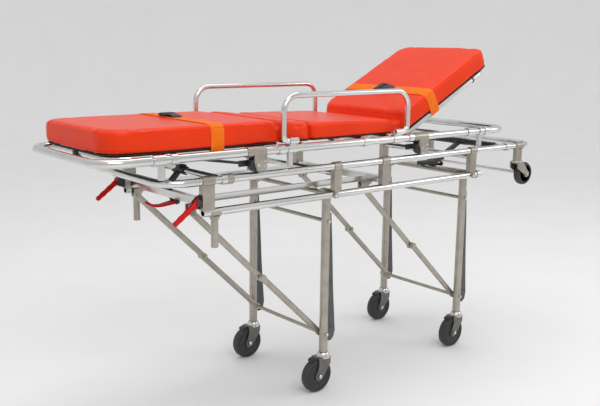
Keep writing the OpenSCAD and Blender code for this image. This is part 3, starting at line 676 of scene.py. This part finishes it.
def strap_path(tree, x, tube_y, tube_z, tube_r):
    """Over a level pad and down its sides, then round the frame tube under its edge."""
    lift = STRAP_T / 2 + 0.0004
    across = []
    steps = 40
    reach = PAD_Y - 0.016
    for k in range(steps + 1):
        y = -reach + 2 * reach * k / steps
        hit = tree.ray_cast(Vector((x, y, SEAT_TOP + 0.1)), -Z, 0.3)[0]
        across.append(Vector((x, y, hit.z + lift)))
    halves = {}
    height = across[0].z - PAD_Z
    for s in (-1, 1):
        wall = []
        for z in [across[0].z - height * share for share in (0.06, 0.14, 0.26, 0.42, 0.60, 0.78)]:
            hit = tree.ray_cast(Vector((x, s * (PAD_Y + 0.1), z)), -Y * s, 0.2)[0]
            y = abs(hit.y) + lift if hit else PAD_Y
            wall.append(Vector((x, s * min(y, PAD_Y + 0.006), z)))
        loop_r = tube_r + lift
        for a in range(0, 200, 25):
            across_y = loop_r * math.cos(math.radians(a))
            down_z = loop_r * math.sin(math.radians(a))
            wall.append(Vector((x, s * (tube_y + across_y), tube_z - down_z)))
        wall.append(Vector((x, s * (tube_y - loop_r), PAD_Z - 0.0015)))
        halves[s] = wall
    return list(reversed(halves[-1])) + across + halves[1]


def smoothed(path, rounds=2):
    """A path whose inner points have moved towards their neighbours."""
    for _ in range(rounds):
        inner = [(a + b * 2 + c) / 4 for a, b, c in zip(path, path[1:], path[2:])]
        path = [path[0]] + inner + [path[-1]]
    return path


def buckle(name, body, x, y, z, raised, tail=0.040):
    """A black side release buckle: a slotted housing, a tongue with two prongs, and a flat loose end."""
    bm = bmesh.new()
    block(bm, (x, y + 0.011, z + 0.0068), (0.050, 0.024, 0.0120), 0.0035)
    block(bm, (x, y - 0.008, z + 0.0058), (0.030, 0.016, 0.0080), 0.002)
    for s in (-1, 1):
        block(bm, (x + s * 0.0205, y - 0.004, z + 0.0062), (0.007, 0.020, 0.0095), 0.0025)
    for dy in (-0.014, -0.022, 0.027):
        block(bm, (x, y + dy, z + 0.0062), (0.048, 0.0048, 0.0075), 0.0018)
    body_piece = piece(name, bm, "black_plastic", None)
    end = bmesh.new()
    shares = [k / 8 for k in range(9)]
    heights = [z + 0.0085 + 0.003 * math.sin(3.0 * t) - 0.006 * t for t in shares]
    path = [Vector((x, y - 0.018 - tail * t, height)) for t, height in zip(shares, heights)]
    sweep(end, path, rounded_rect(0.036, 0.0020, 0.0008, 2), X)
    tail_piece = piece(name + "_tail", end, "black_plastic", None)
    for obj in (body_piece, tail_piece):
        if raised:
            raise_piece(obj)
        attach(obj, body)


def make_strap(name, node, cushion_obj, body, x, tube_z, tube_r, buckle_y, raised):
    """A strap over one cushion and round the frame tubes at its sides, with its buckle."""
    tree = surface(cushion_obj)
    bm = bmesh.new()
    tube_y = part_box("back_frame" if raised else "leg_frame")[1].y - tube_r
    path = smoothed(strap_path(tree, x, tube_y, tube_z, tube_r))
    sweep(bm, path, rounded_rect(STRAP_W, STRAP_T, 0.0009, 2), X)
    obj = piece(name, bm, "webbing_orange", None, sharp_deg=50)
    top = tree.ray_cast(Vector((x, buckle_y, SEAT_TOP + 0.1)), -Z, 0.3)[0]
    buckle(name + "_buckle", body, x, buckle_y, top.z + STRAP_T, raised)
    if raised:
        raise_piece(obj)
    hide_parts(node)
    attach(obj, body)


# ---- Trim on the stretcher ----


def make_frame_trim():
    """The leg frame's bumper, the back frame's clips and the small parts on the stretcher's rails."""
    foot_bar = Vector((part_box("leg_frame")[0].x + 0.010, 0, LEG_HINGE.z))
    bm = bmesh.new()
    rod(bm, foot_bar - Y * 0.014, foot_bar + Y * 0.014, 0.0125)
    block(bm, foot_bar + Vector((-0.004, 0, -0.006)), (0.022, 0.026, 0.022), 0.003)
    piece("leg_frame_bumper", bm, "black_plastic", "leg_rest")
    back_tube_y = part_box("back_frame")[1].y - BACK_TUBE_R
    for key, s in SIDES.items():
        bm = bmesh.new()
        clip = BACK_HINGE + Vector((0.441, s * back_tube_y, 0))
        rod(bm, clip - X * 0.0026, clip + X * 0.0026, 0.0135)
        block(bm, clip, (0.0048, 0.006, 0.029), 0.001)
        obj = piece("back_frame_clip_" + key, bm, "caster_metal", None)
        raise_piece(obj)
        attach(obj, "backrest")
    bm = bmesh.new()
    for s in (-1, 1):
        for x in (0.010, 0.600, -0.800):
            button_bolt(bm, (x, s * (RAIL_Y + TOP_R + 0.0038), TOP_Z), Y * s, 0.0045, 0.0025)
        for x in (-0.863, 0.705):
            for dx in (-0.0065, 0.0065):
                band = [(TOP_R + 0.0040, -0.0012), (TOP_R + 0.0048, 0), (TOP_R + 0.0040, 0.0012)]
                lathe(bm, (x + dx, s * RAIL_Y, TOP_Z), X, band, steps=40)
    piece("stretcher_clamp_bolts", bm, "bright_steel", "stretcher")


def make_guide_wheels():
    """Faces and bolts of the four wheels under the stretcher."""
    face_profile = [(0.019, 0), (0.0188, 0.0010), (0.0165, 0.0010), (0.016, 0.0002), (0.010, 0.0002),
                    (0.009, 0.0011), (0.006, 0.0011)]
    plate_y = 0.0176
    for corner in CORNERS:
        centre = Vector(joints["guide_roll_" + corner]["pos_m"])
        bm = bmesh.new()
        for face in (-1, 1):
            lathe(bm, centre + Y * face * 0.0121, Y * face, face_profile, steps=32)
        piece("guide_wheel_face_" + corner, bm, "tyre_grey", "guide_wheel_" + corner)
        bolts = bmesh.new()
        for face in (-1, 1):
            for dx, dz in ((0.030, 0.012), (0.026, -0.006)):
                button_bolt(bolts, centre + Vector((dx, face * plate_y, dz)), Y * face, 0.0032, 0.0018)
            button_bolt(bolts, centre + Vector((0, face * 0.0210, 0)), Y * face, 0.0045, 0.0016)
        piece("guide_wheel_bolts_" + corner, bolts, "bright_steel", "stretcher")


# ---- Trim on the undercarriage ----


def make_undercarriage_trim():
    """Bolts on the rail blocks, the sleeves beside the head lock and the caps of the lower rails."""
    bm = bmesh.new()
    for x in RAIL_BLOCK_X:
        for s in (-1, 1):
            y = s * (RAIL_Y + 0.0111)
            for z in (MID_Z - 0.032, LOW_Z + 0.030):
                button_bolt(bm, (x, y, z), Y * s, 0.0030, 0.0014)
    piece("rail_block_bolts", bm, "satin_alloy", "chassis")

    # a ribbed sleeve on the head lock's cross tube, on both sides of the lock
    lock_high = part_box("head_lock")[1]
    sleeve_x = lock_high.x - 0.017
    sleeve_r = 0.0128
    rib = [(sleeve_r, -0.003), (sleeve_r + 0.0012, 0), (sleeve_r, 0.003)]
    bm = bmesh.new()
    for s in (-1, 1):
        inner = (sleeve_x, s * (lock_high.y + 0.001), MID_Z)
        rod(bm, inner, (sleeve_x, s * 0.200, MID_Z), sleeve_r, steps=32)
        for k in range(8):
            lathe(bm, (sleeve_x, s * (0.052 + 0.019 * k), MID_Z), Y, rib, steps=32)
    piece("head_lock_sleeves", bm, "black_plastic", "chassis")
    bm = bmesh.new()
    cap = [(0.0128, -0.0005), (0.0128, 0.0015), (0.0105, 0.0040), (0.0001, 0.0050)]
    for s in (-1, 1):
        lathe(bm, (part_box("low_rails")[1].x, s * RAIL_Y, LOW_Z), X, cap, steps=32)
    piece("low_rail_caps", bm, "black_plastic", "chassis")


def make_loading_wheels():
    """Faces, axle bolts and fork collars of the two wheels at the head end."""
    hub_face = [(0.0175, 0), (0.0172, 0.0012), (0.0120, 0.0014), (0.0085, 0.0014)]
    collar = [(0.0192, -0.003), (0.0240, -0.002), (0.0245, 0.001), (0.0240, 0.004), (0.0192, 0.005)]
    stem_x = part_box("loading_forks")[0].x + 0.026
    for key, s in SIDES.items():
        centre = Vector(joints["loading_roll_" + key]["pos_m"])
        bm = bmesh.new()
        for face in (-1, 1):
            lathe(bm, centre + Y * face * 0.0140, Y * face, hub_face, steps=32)
            for r in (0.0385, 0.0420):
                ridge = [(r + 0.0011, 0), (r + 0.0007, 0.0009), (r - 0.0007, 0.0009), (r - 0.0011, 0)]
                lathe(bm, centre + Y * face * 0.0148, Y * face, ridge, steps=40)
        piece("loading_wheel_face_" + key, bm, "tyre_grey", "loading_wheel_" + key)
        bm = bmesh.new()
        hex_bolt(bm, centre + Y * s * 0.0230, Y * s, 0.0070, 0.0060)
        hex_bolt(bm, centre - Y * s * 0.0230, -Y * s, 0.0060, 0.0030)
        piece("loading_wheel_bolt_" + key, bm, "bright_steel", "chassis")
        bm = bmesh.new()
        lathe(bm, (stem_x, s * RAIL_Y, MID_Z - 0.070), Z, collar, steps=40)
        piece("loading_fork_collar_" + key, bm, "bright_steel", "chassis")


# ---- Casters ----


def make_casters():
    """Crown, axle bolts, brake tab and wheel rings of each caster."""
    crown_z = 0.134
    crown = [(0.0262, -0.007), (0.0272, -0.005), (0.0268, -0.001), (0.0246, 0.002), (0.0240, 0.0055),
             (0.0215, 0.0105), (0.0180, 0.0140)]
    tab_outline = [(-0.037, 0.134), (-0.052, 0.133), (-0.062, 0.128), (-0.064, 0.1215), (-0.060, 0.1215),
                   (-0.050, 0.1255), (-0.036, 0.129)]
    dish = [(0.0165, 0.0095), (0.0170, 0.0135), (0.0215, 0.0140), (0.0228, 0.0124), (0.0290, 0.0122),
            (0.0302, 0.0138), (0.0335, 0.0138), (0.0347, 0.0124), (0.0405, 0.0126), (0.0430, 0.0148),
            (0.0432, 0.0095)]
    hub_face = [(0.0158, 0), (0.0155, 0.0014), (0.0110, 0.0016), (0.0075, 0.0008)]
    for corner in CORNERS:
        fork = "caster_fork_" + corner
        swivel = Vector(joints["caster_swivel_" + corner]["pos_m"])
        hub = Vector(joints["caster_roll_" + corner]["pos_m"])
        bm = bmesh.new()
        lathe(bm, (swivel.x, swivel.y, crown_z), Z, crown, steps=40)
        piece("caster_crown_" + corner, bm, "bright_steel", fork)
        bm = bmesh.new()
        for face in (-1, 1):
            hex_bolt(bm, hub + Y * face * 0.0248, Y * face, 0.0058, 0.0045)
        piece("caster_axle_bolts_" + corner, bm, "bright_steel", fork)
        bm = bmesh.new()
        tab = [(swivel.x + dx, z) for dx, z in tab_outline]
        prism(bm, tab, swivel.y - 0.015, swivel.y + 0.015)
        bmesh.ops.bevel(bm, geom=list(bm.edges), offset=0.0012, segments=2, affect="EDGES")
        piece("caster_tab_" + corner, bm, "black_plastic", fork)
        bm = bmesh.new()
        for face in (-1, 1):
            lathe(bm, hub, Y * face, dish, steps=48, ring=True)
            for r, h in ((0.0480, 0.0158), (0.0530, 0.0162)):
                ridge = [(r + 0.0013, -0.001), (r + 0.0009, 0.0008), (r - 0.0009, 0.0008),
                         (r - 0.0013, -0.001)]
                lathe(bm, hub + Y * face * h, Y * face, ridge, steps=48, ring=True)
            lathe(bm, hub + Y * face * 0.0160, Y * face, hub_face, steps=32)
        piece("caster_wheel_rings_" + corner, bm, "tyre_grey", "caster_wheel_" + corner)


# ---- Controls ----


def grip(t):
    """The section of a lever's ribbed sleeve at a share of its length, rounded off at both ends."""
    swell = 0.0102 - 0.0018 * t + 0.0006 * math.cos(26 * t)
    tip = max(0.0, abs(t - 0.5) - 0.43) / 0.07
    swell *= math.sqrt(max(0.02, 1 - tip ** 2))
    return circle(swell, 20)


def make_levers():
    """The two red release levers."""
    slope = math.radians(36)
    along = Vector((-math.cos(slope), 0, -math.sin(slope)))
    start, end = -0.012, 0.108
    steps = 30
    knuckle = [(0.0090, 0), (0.0104, 0.0015), (0.0104, 0.0165), (0.0090, 0.018)]
    for key in SIDES:
        pivot = Vector(joints["release_lever_" + key + "_squeeze"]["pos_m"])
        bm = bmesh.new()
        path = [pivot + along * (start + (end - start) * k / steps) for k in range(steps + 1)]
        sweep(bm, path, grip, Y)
        lathe(bm, pivot - Y * 0.009, Y, knuckle, steps=32)
        lever = piece("lever_" + key, bm, "control_red", "release_lever_" + key, sharp_deg=60)
        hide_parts("release_lever_" + key)


def make_leg_trim():
    """Bolts of the folding legs and screws of their guards."""
    for end in ("foot", "head"):
        hinge = Vector(joints[end + "_legs_fold"]["pos_m"])
        leg_y = abs(joints["caster_swivel_" + end + "_near"]["pos_m"][1])
        caps = bmesh.new()
        for s in (-1, 1):
            for depth in (0.102, 0.532):
                hex_bolt(caps, (hinge.x, s * (leg_y + 0.0200), hinge.z - depth), Y * s, 0.0042, 0.0030)
            hex_bolt(caps, (hinge.x, s * (RAIL_Y + 0.0205), hinge.z), Y * s, 0.0060, 0.0030)
        piece(end + "_leg_bolts", caps, "bright_steel", end + "_legs")
        guard = bmesh.new()
        for s in (-1, 1):
            for z in (0.64, 0.42, 0.24):
                x = hinge.x + 0.020 + (0.69 - z) * 0.02
                button_bolt(guard, (x, s * (leg_y + 0.0040), z), Y * s, 0.0035, 0.0016)
        piece(end + "_guard_screws", guard, "black_plastic", end + "_legs")


# ---- Studio ----


def make_floor():
    """A wide pale floor that bends up into a low wall all round."""
    bm = bmesh.new()
    floor_r, bend_r, wall = 6.0, 2.3, 0.2
    profile = [(0.001, 0.0), (2.0, 0.0), (floor_r, 0.0)]
    for k in range(1, 13):
        a = math.radians(7.5 * k)
        profile.append((floor_r + bend_r * math.sin(a), bend_r * (1 - math.cos(a))))
    profile.append((floor_r + bend_r, bend_r + wall))
    turns = [math.radians(5 * k) for k in range(72)]
    rings = [[bm.verts.new((r * math.cos(a), r * math.sin(a), z)) for a in turns] for r, z in profile]
    for inner, outer in zip(rings, rings[1:]):
        for k in range(72):
            bm.faces.new((inner[k - 1], inner[k], outer[k], outer[k - 1]))
    bm.faces.new(rings[0])
    bmesh.ops.recalc_face_normals(bm, faces=bm.faces)
    mesh = bpy.data.meshes.new("floor")
    bm.to_mesh(mesh)
    bm.free()
    for face in mesh.polygons:
        face.use_smooth = True
    floor = bpy.data.objects.new("floor", mesh)
    bpy.context.scene.collection.objects.link(floor)
    floor.data.materials.append(material("floor_paper", (0.90, 0.90, 0.90), (0.92, 0.92, 0.92), 0.9, scale=3))


def make_sky():
    """An even sky that is bright overhead and dimmer towards its rim."""
    world = bpy.data.worlds.new("studio")
    bpy.context.scene.world = world
    world.use_nodes = True
    tree = world.node_tree
    background = tree.nodes["Background"]
    background.inputs["Strength"].default_value = 0.76
    place = tree.nodes.new("ShaderNodeTexCoord")
    split = tree.nodes.new("ShaderNodeSeparateXYZ")
    tree.links.new(place.outputs["Generated"], split.inputs["Vector"])
    sky = tree.nodes.new("ShaderNodeValToRGB")
    sky.color_ramp.elements[0].position = 0.15
    sky.color_ramp.elements[0].color = (0.70, 0.70, 0.70, 1)
    sky.color_ramp.elements[1].position = 0.85
    sky.color_ramp.elements[1].color = (1, 1, 1, 1)
    tree.links.new(split.outputs["Z"], sky.inputs["Fac"])
    tree.links.new(sky.outputs["Color"], background.inputs["Color"])


def area(name, place, target, size, power):
    """A soft rectangular light aimed at a point."""
    light = bpy.data.lights.new(name, "AREA")
    light.shape = "RECTANGLE"
    light.size, light.size_y = size
    light.energy = power
    obj = bpy.data.objects.new(name, light)
    bpy.context.scene.collection.objects.link(obj)
    obj.location = place
    obj.rotation_mode = "QUATERNION"
    obj.rotation_quaternion = (Vector(target) - Vector(place)).to_track_quat("-Z", "Y")


def make_studio():
    """Floor, sky and three soft lights."""
    make_floor()
    make_sky()
    area("key", (-1.5, -3.0, 3.6), (0, 0, 0.8), (3.0, 1.6), 48)
    area("fill", (3.5, -2.5, 2.5), (0.3, 0, 0.9), (1.6, 1.6), 18)
    area("top", (0.2, 0.3, 4.0), (0.2, 0, 0.9), (3.6, 1.6), 31)
    view = bpy.context.scene.view_settings
    view.view_transform = "Standard"
    view.look = "None"


def make_camera():
    """The photograph's viewpoint, in metres and degrees in the row frame."""
    place = Vector((-2.0985, -2.3896, 1.2889))
    azimuth, elevation, roll = (math.radians(v) for v in (-40.16, 11.16, 0.86))
    level = math.cos(elevation)
    look = Vector((-math.sin(azimuth) * level, math.cos(azimuth) * level, -math.sin(elevation)))
    right = look.cross(Z).normalized()
    up = right.cross(look)
    level_right, level_up = right, up
    right = level_right * math.cos(roll) + level_up * math.sin(roll)
    up = level_up * math.cos(roll) - level_right * math.sin(roll)
    data = bpy.data.cameras.new("camera")
    data.lens = 49.46
    data.sensor_width = 36
    camera = bpy.data.objects.new("camera", data)
    bpy.context.scene.collection.objects.link(camera)
    camera.matrix_world = Matrix((
        (right.x, up.x, -look.x, place.x),
        (right.y, up.y, -look.y, place.y),
        (right.z, up.z, -look.z, place.z),
        (0, 0, 0, 1),
    ))
    bpy.context.scene.camera = camera


# ---- Build ----

LEG_STRAP_X = -0.625
BACK_STRAP_X = BACK_HINGE.x + 0.182
LEG_BUCKLE_Y = 0.060
BACK_BUCKLE_Y = 0.020

make_camera()
make_studio()
paint_frame()
leg_cushion, hip_cushion, seat_cushion, back_cushion = make_cushions()
make_seams(leg_cushion, hip_cushion, seat_cushion, back_cushion)
make_strap("leg_webbing", "leg_strap", leg_cushion, "leg_rest", LEG_STRAP_X, LEG_HINGE.z, LEG_TUBE_R,
           LEG_BUCKLE_Y, False)
make_strap("back_webbing", "back_strap", back_cushion, "backrest", BACK_STRAP_X, BACK_HINGE.z, BACK_TUBE_R,
           BACK_BUCKLE_Y, True)
raise_piece(back_cushion)
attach(leg_cushion, "leg_rest")
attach(hip_cushion, "stretcher")
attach(seat_cushion, "stretcher")
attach(back_cushion, "backrest")
make_frame_trim()
make_guide_wheels()
make_undercarriage_trim()
make_loading_wheels()
make_casters()
make_levers()
make_leg_trim()
